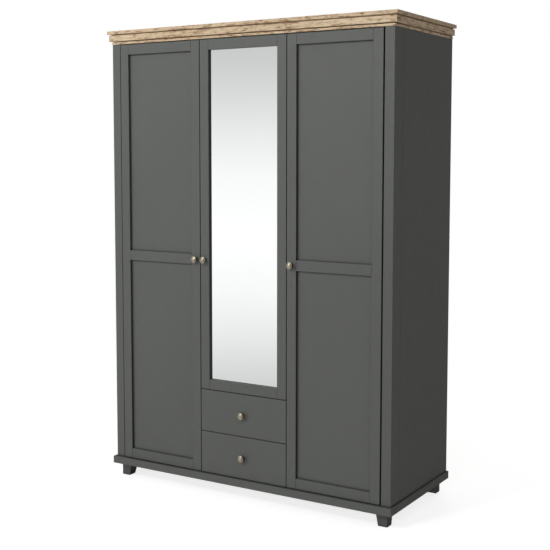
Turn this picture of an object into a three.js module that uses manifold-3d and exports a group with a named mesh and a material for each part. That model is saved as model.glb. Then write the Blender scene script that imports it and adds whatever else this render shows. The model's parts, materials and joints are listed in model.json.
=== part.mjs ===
// A free-standing wardrobe: a painted carcass on a plinth with four tapered legs, two panelled doors with a
// mirror door between them, two drawers under the mirror door, and an oak cornice.
//
// Millimetres, +Z up, the front faces -Y. While the pieces are placed, X = 0 is the middle of the carcass,
// Y = 0 is the front of its corner posts and Z = 0 is the floor. The finished group is then moved along Y, so
// that its origin is the middle of the floor area that the whole wardrobe covers.

import * as THREE from "three";
import { mergeVertices } from "three/addons/utils/BufferGeometryUtils.js";
import Module from "manifold-3d";

const wasm = await Module();
wasm.setup();

// ---- Carcass sizes ----
const CARCASS_WIDTH = 1418;
const CARCASS_DEPTH = 590; // front of the posts to the rear of the back panel
const CARCASS_HEIGHT = 1919; // top of the plinth to the underside of the cornice
const BOARD_THICKNESS = 16; // sides, dividers, base and top
const BACK_THICKNESS = 3;
const BACK_SIDE_INSET = 1;
const POST_WIDTH = 43.5;
const POST_DEPTH = 80;
const FRONT_TO_CARCASS_GAP = 1; // between a closed door and the board edges behind it

// ---- Plinth and legs ----
const PLINTH_HEIGHT = 33;
const PLINTH_FRONT_OVERHANG = 18;
const PLINTH_SIDE_OVERHANG = 10;
const PLINTH_RAIL_WIDTH = 90;
const LEG_HEIGHT = 58;
const LEG_TOP_WIDTH = 54;
const LEG_FOOT_WIDTH = 42;
const LEG_SIDE_INSET = 20; // from the carcass side
const LEG_FRONT_INSET = 13; // from the front of the posts
const LEG_REAR_INSET = 28; // from the rear of the back panel

// ---- Cornice: a moulding of three fillets and two grooves under a flat board ----
const CORNICE_BOARD_THICKNESS = 15;
const CORNICE_BOARD_OVERHANG = 18;
const CORNICE_DEPTH = 42; // how far the moulding lies inside the carcass face
const CORNICE_STRIP = { height: 10, overhang: 2 };
const CORNICE_LOWER_GROOVE = { height: 4, overhang: -3 };
const CORNICE_FASCIA = { height: 26, overhang: 11 };
const CORNICE_UPPER_GROOVE = { height: 5, overhang: 3 };

// ---- Doors ----
const FRONT_GAP = 3; // between neighbouring fronts
const POST_GAP = 4.5; // between a door and the post beside it
const FRONT_THICKNESS = 22;
const FRONT_PROUD = 3; // how far the fronts stand before the posts
const DOOR_TOP_GAP = 4;
const FRONT_BOTTOM_GAP = 2.5;
const STILE_WIDTH = 45;
const RAIL_WIDTH = 45;
const MIDDLE_RAIL_HEIGHT = 957; // its middle, above the plinth
const PANEL_RECESS = 12; // from the face of the frame to the panel or the mirror
const PANEL_THICKNESS = 6;
const SLOT_DEPTH = 6; // the slot in the frame that holds the panel's edge
const SLOT_CLEARANCE = 0.2;
const MIRROR_THICKNESS = 4;

// ---- Hinges ----
const CUP_RADIUS = 17.5;
const CUP_DEPTH = 11.5;
const CUP_EDGE_DISTANCE = 3; // wood left between the door's edge and the cup
const HINGE_END_DISTANCE = 100; // from the top and bottom of a door to its end hinges
const TALL_DOOR_HINGES = 4;
const MIRROR_DOOR_HINGES = 3;
const HINGE_PLATE = { thickness: 3, depth: 30, height: 56, setback: 24 };
const HINGE_ARM = { reach: 58, height: 14, body: 15, noseStart: 10, noseOverlap: 2, noseDepth: 7, bend: 15 };
const HINGE_ARM_GAP = 0.5; // between the arm's nose and the closed door

// ---- Drawers ----
const DRAWER_FRONT_HEIGHT = 186;
const RUNNER_SPACE = 12.5; // between a divider and the drawer box
const RUNNER_GAP = 1; // between the runner's two members and the wall beside them
const RUNNER_LIFT = 0.3; // between the members, one above the other
const RUNNER_HEIGHT = 12;
const RUNNER_LENGTH = 440;
const RUNNER_ABOVE_BOX = 24; // from the bottom of the box to the meeting of the members
const RUNNER_SETBACK = 8; // behind the front edge of the divider
const BOX_DEPTH = 450;
const BOX_HEIGHT = 120;
const BOX_WALL = 12;
const BOX_RISE = 20; // from the bottom of the front to the bottom of the box
const BOX_BOTTOM_THICKNESS = 4;
const BOX_BOTTOM_RISE = 10; // from the bottom of the box to its bottom panel
const BOX_GROOVE_DEPTH = 5;

// ---- Fittings inside ----
const SHELF_THICKNESS = 16;
const SHELF_SETBACK = 20; // behind the front edges of the boards
const SHELF_CLEARANCE = 0.5; // at each end and at the rear
const HAT_SHELF_DROP = 300; // from the top panel down to the top of a hat shelf
const CENTRE_SHELVES = 2;
const RAIL_RADIUS = 12.5;
const RAIL_DROP = 60; // from the underside of a hat shelf to the middle of a hanging rail
const RAIL_SOCKET_RADIUS = 24;
const RAIL_SOCKET_LENGTH = 12;
const RAIL_END_CLEARANCE = 0.3;

// ---- Knobs: radius at each distance from the front that they stand on ----
const KNOB_STAND_OUT = 25;
const KNOB_RADIUS = 15;
const KNOB_STEM_RADIUS = 6;
const KNOB_FOOT_RADIUS = 9;
const KNOB_FOOT_THICKNESS = 2.5;
const KNOB_HEAD_THICKNESS = 10;

// ---- Facets of the round pieces ----
const TURNED_SEGMENTS = 24;
const BORE_SEGMENTS = 48;

// ---- Places that follow from the sizes ----
const HALF_WIDTH = CARCASS_WIDTH / 2;
const PLINTH_TOP = LEG_HEIGHT + PLINTH_HEIGHT;
const CARCASS_TOP = PLINTH_TOP + CARCASS_HEIGHT;
const MOULDING = [CORNICE_STRIP, CORNICE_LOWER_GROOVE, CORNICE_FASCIA, CORNICE_UPPER_GROOVE];
const CORNICE_BOARD_BOTTOM = MOULDING.reduce((top, step) => top + step.height, CARCASS_TOP);
const BACK_FRONT = CARCASS_DEPTH - BACK_THICKNESS;
const FRONT_FACE = -FRONT_PROUD;
const FRONT_REAR = FRONT_FACE + FRONT_THICKNESS;
const BOARD_FRONT = FRONT_REAR + FRONT_TO_CARCASS_GAP;
const BASE_TOP = PLINTH_TOP + BOARD_THICKNESS;
const TOP_PANEL_BOTTOM = CARCASS_TOP - BOARD_THICKNESS;
const FRONT_WIDTH = (CARCASS_WIDTH - 2 * (POST_WIDTH + POST_GAP + FRONT_GAP)) / 3;
const FRONT_PITCH = FRONT_WIDTH + FRONT_GAP;
const DIVIDER_X = FRONT_PITCH / 2; // dividers stand behind the gaps between the fronts
const FRONT_BOTTOM = PLINTH_TOP + FRONT_BOTTOM_GAP;
const DOOR_TOP = CARCASS_TOP - DOOR_TOP_GAP;
const MIRROR_DOOR_BOTTOM = FRONT_BOTTOM + 2 * (DRAWER_FRONT_HEIGHT + FRONT_GAP);
const DECK_BOTTOM = MIRROR_DOOR_BOTTOM - FRONT_GAP / 2 - BOARD_THICKNESS / 2;
const DECK_TOP = DECK_BOTTOM + BOARD_THICKNESS;
const HAT_SHELF_TOP = TOP_PANEL_BOTTOM - HAT_SHELF_DROP;
const CUP_CENTRE = CUP_EDGE_DISTANCE + CUP_RADIUS;
const PANEL_SLOT = { from: PANEL_RECESS - SLOT_CLEARANCE, to: PANEL_RECESS + PANEL_THICKNESS + SLOT_CLEARANCE };
const MIRROR_REBATE = { from: PANEL_RECESS, to: FRONT_THICKNESS };

// ---- Materials ----
const finish = (color, roughness, metalness = 0) =>
  new THREE.MeshStandardMaterial({ color, roughness, metalness });
const greenPaint = finish(0x5c5e5b, 0.6);
const oak = finish(0xc0a482, 0.65);
const silverMirror = finish(0xe4e6e6, 0.03, 1);
const agedBrass = finish(0x94805c, 0.4, 1);
const nickel = finish(0xb9bab6, 0.3, 1);
const chrome = finish(0xd8d8d8, 0.12, 1);
const greyFoil = finish(0xb4b5b1, 0.6);
const hardboard = finish(0x6a6c68, 0.75);

// ---- Solids ----
function toSolid(geometry) {
  const bare = geometry.index ? geometry.toNonIndexed() : geometry.clone();
  bare.deleteAttribute("normal");
  bare.deleteAttribute("uv");
  const merged = mergeVertices(bare, 1e-3);
  const vertProperties = merged.attributes.position.array;
  return new wasm.Manifold(
    new wasm.Mesh({ numProp: 3, vertProperties, triVerts: new Uint32Array(merged.index.array) }),
  );
}

function toGeometry(solid) {
  const mesh = solid.getMesh();
  const geometry = new THREE.BufferGeometry();
  geometry.setAttribute("position", new THREE.BufferAttribute(mesh.vertProperties, 3));
  geometry.setIndex(new THREE.BufferAttribute(mesh.triVerts, 1));
  return geometry;
}

// A box between two corners.
function boxGeometry(low, high) {
  const size = high.map((value, axis) => value - low[axis]);
  const middle = high.map((value, axis) => (value + low[axis]) / 2);
  return new THREE.BoxGeometry(...size).translate(...middle);
}

const boxSolid = (low, high) => toSolid(boxGeometry(low, high));

// A flat outline of [x, y] points, extruded upwards.
function outlineGeometry(points, height, hole) {
  const shape = new THREE.Shape(points.map(([x, y]) => new THREE.Vector2(x, y)));
  if (hole) shape.holes.push(new THREE.Path(hole.map(([x, y]) => new THREE.Vector2(x, y))));
  return new THREE.ExtrudeGeometry(shape, { depth: height, bevelEnabled: false });
}

// The same faces, turned round where they point inwards.
function facingOut(geometry) {
  if (toSolid(geometry).volume() > 0) return geometry;
  const order = geometry.index.array;
  for (let i = 0; i < order.length; i += 3) {
    [order[i + 1], order[i + 2]] = [order[i + 2], order[i + 1]];
  }
  return geometry;
}

// A bar with the same outline at both ends, each end placed by its own function of an outline point.
function barGeometry(points, placeStart, placeEnd) {
  const toVectors = (list) => list.map(([u, v]) => new THREE.Vector2(u, v));
  const outline = THREE.ShapeUtils.isClockWise(toVectors(points)) ? points.slice().reverse() : points;
  const count = outline.length;
  const positions = [...outline.map(placeStart), ...outline.map(placeEnd)].flat();
  const caps = THREE.ShapeUtils.triangulateShape(toVectors(outline), []);
  const faces = [];
  for (const [a, b, c] of caps) {
    faces.push(a, c, b, a + count, b + count, c + count);
  }
  for (let i = 0; i < count; i++) {
    const next = (i + 1) % count;
    faces.push(i, next, next + count, i, next + count, i + count);
  }
  const geometry = new THREE.BufferGeometry();
  geometry.setAttribute("position", new THREE.Float32BufferAttribute(positions, 3));
  geometry.setIndex(faces);
  return facingOut(geometry);
}

// A body of revolution about the Y axis, from [radius, y] points that start and end on the axis.
function turnedGeometry(points) {
  const profile = points.map(([radius, y]) => new THREE.Vector2(radius, y));
  return facingOut(new THREE.LatheGeometry(profile, TURNED_SEGMENTS));
}

function piece(name, geometry, material, position = [0, 0, 0]) {
  geometry.computeVertexNormals();
  const mesh = new THREE.Mesh(geometry, material);
  mesh.name = name;
  mesh.position.set(...position);
  return mesh;
}

// A plain board between two corners, placed by its lowest corner.
function board(name, material, low, high) {
  const size = high.map((value, axis) => value - low[axis]);
  return piece(name, boxGeometry([0, 0, 0], size), material, low);
}

const SIDES = [
  { name: "left", sign: -1 },
  { name: "right", sign: 1 },
];

// The lower and higher of two values mirrored to one side of the middle.
const across = (sign, near, far) => [Math.min(sign * near, sign * far), Math.max(sign * near, sign * far)];

// ---- Carcass ----
function sidePanel({ name, sign }) {
  const [left, right] = across(sign, HALF_WIDTH - BOARD_THICKNESS, HALF_WIDTH);
  return board(
    `side_panel_${name}`,
    greenPaint,
    [left, POST_DEPTH, PLINTH_TOP],
    [right, BACK_FRONT, CARCASS_TOP],
  );
}

function cornerPost({ name, sign }) {
  const [left, right] = across(sign, HALF_WIDTH - POST_WIDTH, HALF_WIDTH);
  return board(`corner_post_${name}`, greenPaint, [left, 0, PLINTH_TOP], [right, POST_DEPTH, CARCASS_TOP]);
}

// The base and the top fit between the side panels and are notched round the posts.
function notchedPanel(name, bottom) {
  const outer = HALF_WIDTH - BOARD_THICKNESS;
  const inner = HALF_WIDTH - POST_WIDTH;
  const outline = [
    [-inner, BOARD_FRONT],
    [inner, BOARD_FRONT],
    [inner, POST_DEPTH],
    [outer, POST_DEPTH],
    [outer, BACK_FRONT],
    [-outer, BACK_FRONT],
    [-outer, POST_DEPTH],
    [-inner, POST_DEPTH],
  ];
  return piece(name, outlineGeometry(outline, BOARD_THICKNESS), greenPaint, [0, 0, bottom]);
}

function backPanel() {
  const reach = HALF_WIDTH - BACK_SIDE_INSET;
  return board(
    "back_panel",
    hardboard,
    [-reach, BACK_FRONT, PLINTH_TOP],
    [reach, CARCASS_DEPTH, CORNICE_BOARD_BOTTOM],
  );
}

// The height at which the two members of a drawer's runner meet.
const runnerHeight = (frontBottom) => frontBottom + BOX_RISE + RUNNER_ABOVE_BOX;

const drawerBottoms = [FRONT_BOTTOM + DRAWER_FRONT_HEIGHT + FRONT_GAP, FRONT_BOTTOM];

// A divider carries the fixed member of each drawer's runner on the face towards the middle.
function divider({ name, sign }) {
  const face = DIVIDER_X - BOARD_THICKNESS / 2;
  const [left, right] = across(sign, face, face + BOARD_THICKNESS);
  let solid = boxSolid([left, BOARD_FRONT, BASE_TOP], [right, BACK_FRONT, TOP_PANEL_BOTTOM]);
  const [runnerLeft, runnerRight] = across(sign, face - RUNNER_SPACE + RUNNER_GAP, face + RUNNER_GAP);
  const runnerFront = BOARD_FRONT + RUNNER_SETBACK;
  for (const bottom of drawerBottoms) {
    const top = runnerHeight(bottom);
    const member = boxSolid(
      [runnerLeft, runnerFront, top - RUNNER_HEIGHT],
      [runnerRight, runnerFront + RUNNER_LENGTH, top],
    );
    solid = solid.add(member);
  }
  return piece(`divider_${name}`, toGeometry(solid), greenPaint);
}

function deckAndShelves() {
  const reach = DIVIDER_X - BOARD_THICKNESS / 2;
  const deck = board(
    "drawer_deck",
    greenPaint,
    [-reach, BOARD_FRONT, DECK_BOTTOM],
    [reach, BACK_FRONT, DECK_TOP],
  );
  const free = TOP_PANEL_BOTTOM - DECK_TOP - CENTRE_SHELVES * SHELF_THICKNESS;
  const bay = free / (CENTRE_SHELVES + 1);
  const shelves = [];
  for (let i = 0; i < CENTRE_SHELVES; i++) {
    const bottom = DECK_TOP + (i + 1) * bay + i * SHELF_THICKNESS;
    const low = [-reach + SHELF_CLEARANCE, BOARD_FRONT + SHELF_SETBACK, bottom];
    const high = [reach - SHELF_CLEARANCE, BACK_FRONT - SHELF_CLEARANCE, bottom + SHELF_THICKNESS];
    shelves.push(board(`centre_shelf_${i + 1}`, greenPaint, low, high));
  }
  return [deck, ...shelves];
}

// A hat shelf lies behind the post, between the side panel and the divider.
function hatShelf({ name, sign }) {
  const near = DIVIDER_X + BOARD_THICKNESS / 2 + SHELF_CLEARANCE;
  const far = HALF_WIDTH - BOARD_THICKNESS - SHELF_CLEARANCE;
  const [left, right] = across(sign, near, far);
  return board(
    `hat_shelf_${name}`,
    greenPaint,
    [left, POST_DEPTH + SHELF_CLEARANCE, HAT_SHELF_TOP - SHELF_THICKNESS],
    [right, BACK_FRONT - SHELF_CLEARANCE, HAT_SHELF_TOP],
  );
}

// A round tube in two end sockets, which are screwed to the side panel and to the divider.
function hangingRail({ name, sign }) {
  const near = DIVIDER_X + BOARD_THICKNESS / 2 + RAIL_END_CLEARANCE;
  const far = HALF_WIDTH - BOARD_THICKNESS - RAIL_END_CLEARANCE;
  const [left, right] = across(sign, near, far);
  const height = HAT_SHELF_TOP - SHELF_THICKNESS - RAIL_DROP;
  const depth = (POST_DEPTH + BACK_FRONT) / 2;
  const outline = [
    [0, left],
    [RAIL_SOCKET_RADIUS, left],
    [RAIL_SOCKET_RADIUS, left + RAIL_SOCKET_LENGTH],
    [RAIL_RADIUS, left + RAIL_SOCKET_LENGTH],
    [RAIL_RADIUS, right - RAIL_SOCKET_LENGTH],
    [RAIL_SOCKET_RADIUS, right - RAIL_SOCKET_LENGTH],
    [RAIL_SOCKET_RADIUS, right],
    [0, right],
  ];
  const rail = piece(`hanging_rail_${name}`, turnedGeometry(outline), chrome, [0, depth, height]);
  rail.rotation.z = -Math.PI / 2;
  return rail;
}

// ---- Plinth and legs ----
function plinthFrame() {
  const outerX = HALF_WIDTH + PLINTH_SIDE_OVERHANG;
  const frontY = -PLINTH_FRONT_OVERHANG;
  const innerX = outerX - PLINTH_RAIL_WIDTH;
  const rectangle = (x, front, rear) => [
    [-x, front],
    [x, front],
    [x, rear],
    [-x, rear],
  ];
  const outer = rectangle(outerX, frontY, CARCASS_DEPTH);
  const inner = rectangle(innerX, frontY + PLINTH_RAIL_WIDTH, CARCASS_DEPTH - PLINTH_RAIL_WIDTH);
  return piece("plinth_frame", outlineGeometry(outer, PLINTH_HEIGHT, inner), greenPaint, [0, 0, LEG_HEIGHT]);
}

// A leg keeps its two outer faces upright and tapers on the two that face inwards.
function leg({ name, sign }, end) {
  const outerX = HALF_WIDTH - LEG_SIDE_INSET;
  const isFront = end === "front";
  const outerY = isFront ? LEG_FRONT_INSET : CARCASS_DEPTH - LEG_REAR_INSET;
  const inward = isFront ? 1 : -1;
  const square = [
    [0, 0],
    [1, 0],
    [1, 1],
    [0, 1],
  ];
  const corner = (width, height) => ([u, v]) => [
    sign * (outerX - u * width),
    outerY + inward * v * width,
    height,
  ];
  const geometry = barGeometry(square, corner(LEG_FOOT_WIDTH, 0), corner(LEG_TOP_WIDTH, LEG_HEIGHT));
  return piece(`leg_${end}_${name}`, geometry, greenPaint);
}

// ---- Cornice ----
// The moulding's outline as [overhang, height] points, from the bottom of its inner face.
function mouldingOutline() {
  const outline = [[-CORNICE_DEPTH, CARCASS_TOP]];
  let height = CARCASS_TOP;
  for (const step of MOULDING) {
    outline.push([step.overhang, height]);
    height += step.height;
    outline.push([step.overhang, height]);
  }
  outline.push([-CORNICE_DEPTH, height]);
  return outline;
}

function corniceFront() {
  const place = (sign) => ([overhang, height]) => [sign * (HALF_WIDTH + overhang), -overhang, height];
  return piece("cornice_front", barGeometry(mouldingOutline(), place(-1), place(1)), oak);
}

// A side moulding meets the front one in a mitre and ends just before the back panel.
function corniceSide({ name, sign }) {
  const mitre = ([overhang, height]) => [sign * (HALF_WIDTH + overhang), -overhang, height];
  const rear = ([overhang, height]) => [sign * (HALF_WIDTH + overhang), BACK_FRONT, height];
  return piece(`cornice_${name}`, barGeometry(mouldingOutline(), mitre, rear), oak);
}

function corniceBoard() {
  const reach = HALF_WIDTH + CORNICE_BOARD_OVERHANG;
  return board(
    "cornice_board",
    oak,
    [-reach, -CORNICE_BOARD_OVERHANG, CORNICE_BOARD_BOTTOM],
    [reach, CARCASS_DEPTH, CORNICE_BOARD_BOTTOM + CORNICE_BOARD_THICKNESS],
  );
}

// ---- Knobs ----
// A turned knob that stands out along -Y from the front it is screwed to.
function knob(name, x, z) {
  const headBack = KNOB_STAND_OUT - KNOB_HEAD_THICKNESS;
  const rim = KNOB_HEAD_THICKNESS / 4;
  const outline = [
    [0, 0],
    [KNOB_FOOT_RADIUS, 0],
    [KNOB_FOOT_RADIUS, -KNOB_FOOT_THICKNESS],
    [KNOB_STEM_RADIUS, -2 * KNOB_FOOT_THICKNESS],
    [KNOB_STEM_RADIUS, -headBack],
    [KNOB_RADIUS - rim, -headBack - rim / 2],
    [KNOB_RADIUS, -headBack - 2 * rim],
    [KNOB_RADIUS - rim, -KNOB_STAND_OUT + rim / 2],
    [KNOB_RADIUS / 2, -KNOB_STAND_OUT],
    [0, -KNOB_STAND_OUT],
  ];
  return piece(name, turnedGeometry(outline), agedBrass, [x, 0, z]);
}

// ---- Doors ----
// Inside a door group the origin is the lower left corner of its front face.

const hingeHeights = (doorHeight, count) => {
  const step = (doorHeight - 2 * HINGE_END_DISTANCE) / (count - 1);
  return Array.from({ length: count }, (_, i) => HINGE_END_DISTANCE + i * step);
};

// A stile as tall as the door, with the slot on its inner edge, and the bores if it carries the hinges.
function stile(name, height, slot, sign, boreHeights) {
  const [left, right] = sign < 0 ? [0, STILE_WIDTH] : [FRONT_WIDTH - STILE_WIDTH, FRONT_WIDTH];
  const slotEdges = sign < 0 ? [right - SLOT_DEPTH, right] : [left, left + SLOT_DEPTH];
  let solid = boxSolid([left, 0, 0], [right, FRONT_THICKNESS, height]);
  solid = solid.subtract(boxSolid([slotEdges[0], slot.from, 0], [slotEdges[1], slot.to, height]));
  const boreX = sign < 0 ? left + CUP_CENTRE : right - CUP_CENTRE;
  for (const boreHeight of boreHeights) {
    const bore = new THREE.CylinderGeometry(CUP_RADIUS, CUP_RADIUS, CUP_DEPTH, BORE_SEGMENTS);
    bore.translate(boreX, FRONT_THICKNESS - CUP_DEPTH / 2, boreHeight);
    solid = solid.subtract(toSolid(bore));
  }
  return piece(name, toGeometry(solid), greenPaint);
}

// A rail between the stiles, with a tongue at each end that fills the stile's slot, and its own slot along
// the edge that holds the panel.
function slottedRail(name, bottom, slot, isTop) {
  const top = bottom + RAIL_WIDTH;
  const tongue = SLOT_DEPTH - SLOT_CLEARANCE;
  const tongueFrom = slot.from + SLOT_CLEARANCE;
  const tongueTo = slot.to < FRONT_THICKNESS ? slot.to - SLOT_CLEARANCE : slot.to;
  const [left, right] = [STILE_WIDTH, FRONT_WIDTH - STILE_WIDTH];
  let solid = boxSolid([left, 0, bottom], [right, FRONT_THICKNESS, top]);
  solid = solid.add(boxSolid([left - tongue, tongueFrom, bottom], [right + tongue, tongueTo, top]));
  const slotEdges = isTop ? [bottom, bottom + SLOT_DEPTH] : [top - SLOT_DEPTH, top];
  solid = solid.subtract(
    boxSolid([left - SLOT_DEPTH, slot.from, slotEdges[0]], [right + SLOT_DEPTH, slot.to, slotEdges[1]]),
  );
  return piece(name, toGeometry(solid), greenPaint);
}

// The stiles and the top and bottom rails of a door whose hinges are on the side that sign gives.
function doorFrame(name, height, slot, sign, hingeCount) {
  const bores = hingeHeights(height, hingeCount);
  return [
    stile(`${name}_hinge_stile`, height, slot, sign, bores),
    stile(`${name}_closing_stile`, height, slot, -sign, []),
    slottedRail(`${name}_top_rail`, height - RAIL_WIDTH, slot, true),
    slottedRail(`${name}_bottom_rail`, 0, slot, false),
  ];
}

// A sheet held in the slots all round, between two depths behind the front face.
function doorSheet(name, material, height, from, to) {
  const hold = SLOT_DEPTH - SLOT_CLEARANCE;
  return board(
    name,
    material,
    [STILE_WIDTH - hold, from, RAIL_WIDTH - hold],
    [FRONT_WIDTH - STILE_WIDTH + hold, to, height - RAIL_WIDTH + hold],
  );
}

function placeFront(pieces, column, bottom) {
  const group = new THREE.Group();
  group.position.set(column * FRONT_PITCH - FRONT_WIDTH / 2, FRONT_FACE, bottom);
  group.add(...pieces);
  return group;
}

// A knob's place on the stile away from the hinges.
const knobX = (sign) => (sign < 0 ? FRONT_WIDTH - STILE_WIDTH / 2 : STILE_WIDTH / 2);

function panelDoor({ name, sign }) {
  const door = `${name}_door`;
  const height = DOOR_TOP - FRONT_BOTTOM;
  const middle = MIDDLE_RAIL_HEIGHT - FRONT_BOTTOM_GAP;
  const panelRear = PANEL_RECESS + PANEL_THICKNESS;
  const pieces = [
    ...doorFrame(door, height, PANEL_SLOT, sign, TALL_DOOR_HINGES),
    board(
      `${door}_middle_rail`,
      greenPaint,
      [STILE_WIDTH, 0, middle - RAIL_WIDTH / 2],
      [FRONT_WIDTH - STILE_WIDTH, PANEL_RECESS, middle + RAIL_WIDTH / 2],
    ),
    doorSheet(`${door}_panel`, greenPaint, height, PANEL_RECESS, panelRear),
    knob(`${door}_knob`, knobX(sign), middle),
  ];
  return placeFront(pieces, sign, FRONT_BOTTOM);
}

// The mirror lies against the lip of the rebate, and a backing board behind it is flush with the frame.
function mirrorDoor() {
  const height = DOOR_TOP - MIRROR_DOOR_BOTTOM;
  const hingeSide = 1;
  const mirrorRear = PANEL_RECESS + MIRROR_THICKNESS;
  const knobHeight = PLINTH_TOP + MIDDLE_RAIL_HEIGHT - MIRROR_DOOR_BOTTOM;
  const pieces = [
    ...doorFrame("mirror_door", height, MIRROR_REBATE, hingeSide, MIRROR_DOOR_HINGES),
    doorSheet("mirror_door_glass", silverMirror, height, PANEL_RECESS, mirrorRear),
    doorSheet("mirror_door_backing", hardboard, height, mirrorRear, FRONT_THICKNESS),
    knob("mirror_door_knob", knobX(hingeSide), knobHeight),
  ];
  return placeFront(pieces, 0, MIRROR_DOOR_BOTTOM);
}

// ---- Hinge arms ----
// The fixed half of a concealed hinge: a plate on the carcass and a cranked arm that reaches over the cup.
// mountX is the face it is screwed to, and cupDistance is how far the cup's middle lies from that face.
function hingeArm(name, mountX, sign, cupDistance, height) {
  const out = (distance) => mountX + sign * distance;
  const plate = HINGE_PLATE;
  const arm = HINGE_ARM;
  const [left, right] = [out(0), out(plate.thickness)].sort((a, b) => a - b);
  const plateSolid = boxSolid(
    [left, FRONT_REAR + plate.setback, height - plate.height / 2],
    [right, FRONT_REAR + plate.setback + plate.depth, height + plate.height / 2],
  );
  const back = FRONT_REAR + arm.reach;
  const nose = FRONT_REAR + HINGE_ARM_GAP;
  const noseEnd = cupDistance + CUP_RADIUS + arm.noseOverlap;
  const outline = [
    [out(plate.thickness / 2), back],
    [out(plate.thickness / 2), FRONT_REAR + arm.bend],
    [out(cupDistance - arm.noseStart), nose],
    [out(noseEnd), nose],
    [out(noseEnd), nose + arm.noseDepth],
    [out(plate.thickness + arm.body), FRONT_REAR + arm.bend + arm.noseDepth],
    [out(plate.thickness + arm.body), back],
  ];
  const armGeometry = outlineGeometry(outline, arm.height).translate(0, 0, height - arm.height / 2);
  return piece(name, toGeometry(plateSolid.add(toSolid(armGeometry))), nickel);
}

function hingeArms() {
  const doors = [
    { name: "left_door", mountX: POST_WIDTH - HALF_WIDTH, sign: 1, gap: POST_GAP, bottom: FRONT_BOTTOM },
    { name: "right_door", mountX: HALF_WIDTH - POST_WIDTH, sign: -1, gap: POST_GAP, bottom: FRONT_BOTTOM },
    {
      name: "mirror_door",
      mountX: DIVIDER_X - BOARD_THICKNESS / 2,
      sign: -1,
      gap: (FRONT_GAP - BOARD_THICKNESS) / 2,
      bottom: MIRROR_DOOR_BOTTOM,
    },
  ];
  return doors.flatMap(({ name, mountX, sign, gap, bottom }) => {
    const cupDistance = gap + CUP_CENTRE;
    const [low, high] = [bottom + HINGE_END_DISTANCE, DOOR_TOP - HINGE_END_DISTANCE];
    return [
      hingeArm(`${name}_hinge_arm_bottom`, mountX, sign, cupDistance, low),
      hingeArm(`${name}_hinge_arm_top`, mountX, sign, cupDistance, high),
    ];
  });
}

// ---- Drawers ----
// Inside a drawer group the origin is the lower left corner of its front face.
const boxHalfWidth = DIVIDER_X - BOARD_THICKNESS / 2 - RUNNER_SPACE;
const boxLeft = FRONT_WIDTH / 2 - boxHalfWidth;
const boxRight = FRONT_WIDTH / 2 + boxHalfWidth;
const boxRear = FRONT_THICKNESS + BOX_DEPTH;
const bottomLow = BOX_RISE + BOX_BOTTOM_RISE;
const bottomHigh = bottomLow + BOX_BOTTOM_THICKNESS;

// The space that the bottom panel takes, or with room for it, the groove that is cut for it.
function bottomBox(room) {
  const inset = BOX_WALL - BOX_GROOVE_DEPTH;
  return [
    [boxLeft + inset - room, FRONT_THICKNESS - BOX_GROOVE_DEPTH - room, bottomLow - room],
    [boxRight - inset + room, boxRear - inset + room, bottomHigh + room],
  ];
}

// Two sides and a back, folded from one board, with the moving member of the runner on each side.
function drawerBox(name) {
  const top = BOX_RISE + BOX_HEIGHT;
  let solid = boxSolid([boxLeft, FRONT_THICKNESS, BOX_RISE], [boxRight, boxRear, top]);
  solid = solid.subtract(
    boxSolid(
      [boxLeft + BOX_WALL, FRONT_THICKNESS, BOX_RISE],
      [boxRight - BOX_WALL, boxRear - BOX_WALL, top],
    ),
  );
  const runnerLow = BOX_RISE + RUNNER_ABOVE_BOX + RUNNER_LIFT;
  const runnerFront = BOARD_FRONT + RUNNER_SETBACK - FRONT_FACE;
  for (const sign of [-1, 1]) {
    const wall = FRONT_WIDTH / 2 + sign * boxHalfWidth;
    const reach = wall + sign * (RUNNER_SPACE - RUNNER_GAP);
    const inside = wall - sign * (BOX_WALL - BOX_GROOVE_DEPTH);
    solid = solid.add(
      boxSolid(
        [Math.min(inside, reach), runnerFront, runnerLow],
        [Math.max(inside, reach), runnerFront + RUNNER_LENGTH, runnerLow + RUNNER_HEIGHT],
      ),
    );
  }
  return piece(name, toGeometry(solid.subtract(boxSolid(...bottomBox(SLOT_CLEARANCE)))), greyFoil);
}

function drawerFront(name) {
  const slab = boxSolid([0, 0, 0], [FRONT_WIDTH, FRONT_THICKNESS, DRAWER_FRONT_HEIGHT]);
  return piece(name, toGeometry(slab.subtract(boxSolid(...bottomBox(SLOT_CLEARANCE)))), greenPaint);
}

function drawer(name, bottom) {
  const pieces = [
    drawerFront(`${name}_drawer_front`),
    drawerBox(`${name}_drawer_box`),
    board(`${name}_drawer_bottom`, hardboard, ...bottomBox(0)),
    knob(`${name}_drawer_knob`, FRONT_WIDTH / 2, DRAWER_FRONT_HEIGHT / 2),
  ];
  return placeFront(pieces, 0, bottom);
}

// ---- The whole wardrobe ----
const model = new THREE.Group();
model.add(
  ...SIDES.map(sidePanel),
  ...SIDES.map(cornerPost),
  ...SIDES.map(divider),
  notchedPanel("base_panel", PLINTH_TOP),
  notchedPanel("top_panel", TOP_PANEL_BOTTOM),
  backPanel(),
  plinthFrame(),
  ...SIDES.flatMap((side) => [leg(side, "front"), leg(side, "rear")]),
  corniceBoard(),
  corniceFront(),
  ...SIDES.map(corniceSide),
  ...deckAndShelves(),
  ...SIDES.map(hatShelf),
  ...SIDES.map(hangingRail),
  ...hingeArms(),
  ...SIDES.map(panelDoor),
  mirrorDoor(),
  drawer("upper", drawerBottoms[0]),
  drawer("lower", drawerBottoms[1]),
);

const foremost = Math.max(FRONT_PROUD + KNOB_STAND_OUT, CORNICE_BOARD_OVERHANG, PLINTH_FRONT_OVERHANG);
model.position.y = (foremost - CARCASS_DEPTH) / 2;

const wardrobe = new THREE.Group();
wardrobe.add(model);

export default wardrobe;
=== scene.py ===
# A free-standing wardrobe: a matt green-grey carcass on a plinth with four tapered legs, two panelled doors,
# a mirror door between them, two drawers under the mirror door, and an aged oak cornice. Lengths are in
# metres.
import json
import math

import bpy
from mathutils import Matrix, Vector


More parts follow.
